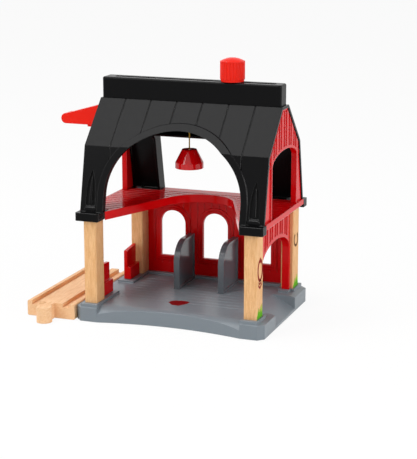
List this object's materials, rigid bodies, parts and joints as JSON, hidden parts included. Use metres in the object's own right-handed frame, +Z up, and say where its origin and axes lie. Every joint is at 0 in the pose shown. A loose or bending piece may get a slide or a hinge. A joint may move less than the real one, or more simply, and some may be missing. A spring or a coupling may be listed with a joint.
{
  "type": "toy barn with opening doors",
  "caption": "Two-storey toy barn on square wooden posts, with swinging gates and a travelling magnet hoist turned by its chimney over a wooden railway track.",
  "frame": {"origin": "on the floor under the middle of the base plate", "axes": "+Z up, +X along the ridge away from the track, -Y out of the open front"},
  "size_m": [0.1917, 0.1331, 0.1998],
  "materials": {
    "grey_plastic": "moulded, satin gloss",
    "beech": "sanded bare beech",
    "screw_steel": "zinc plated",
    "red_plastic": "moulded, glossy",
    "black_plastic": "moulded, glossy",
    "bright_red_plastic": "moulded, glossy",
    "string": "twisted yellow cord",
    "plated_steel": "nickel plated"
  },
  "bodies": {
    "barn": {"base_plate": "grey_plastic", "post_front_left": "beech", "post_front_right": "beech", "post_rear_left": "beech", "post_rear_right": "beech", "base_screws": "screw_steel", "loft_screws": "screw_steel", "stall_divider_left": "grey_plastic", "stall_divider_right": "grey_plastic", "rear_wall": "red_plastic", "side_arch_right": "red_plastic", "loft_floor": "red_plastic", "roof_front": "black_plastic", "roof_rear": "black_plastic", "gable_left": "red_plastic", "gable_right": "red_plastic", "ridge_cover": "black_plastic", "hoist_arm": "bright_red_plastic", "arm_screws": "screw_steel", "rail_track": "beech"},
    "front_gate": {"gate_front": "red_plastic"},
    "rear_gate": {"gate_rear": "red_plastic"},
    "carriage": {"hoist_carriage": "black_plastic", "guide_eyelet": "plated_steel", "string_run": "string", "hoist_string": "string"},
    "knob": {"chimney_knob": "bright_red_plastic", "winch_drum": "black_plastic", "string_coil": "string", "knob_screw": "screw_steel"},
    "magnet": {"magnet_cup": "bright_red_plastic", "magnet_disc": "plated_steel", "string_knot": "string"}
  },
  "joints": [
    {"name": "front_gate_hinge", "type": "hinge", "parent": "barn", "child": "front_gate", "pos_m": [-0.06405, -0.035, 0.0138], "axis": [0, 0, 1], "range_deg": [-80, 88]},
    {"name": "rear_gate_hinge", "type": "hinge", "parent": "barn", "child": "rear_gate", "pos_m": [-0.06405, 0.035, 0.0138], "axis": [0, 0, -1], "range_deg": [-80, 88]},
    {"name": "carriage_travel", "type": "slide", "parent": "barn", "child": "carriage", "axis": [1, 0, 0], "range_m": [-0.092, 0.03]},
    {"name": "knob_turn", "type": "hinge", "parent": "carriage", "child": "knob", "pos_m": [0.0313, 0, 0.18], "axis": [0, 0, 1], "range_deg": [-1015, 150]},
    {"name": "magnet_lift", "type": "slide", "parent": "carriage", "child": "magnet", "axis": [0, 0, 1], "range_m": [-0.08, 0.012], "deforming": ["hoist_string"]}
  ],
  "couplings": [
    {"joint": "magnet_lift", "follows": "knob_turn", "m_per_rad": 0.0045}
  ]
}
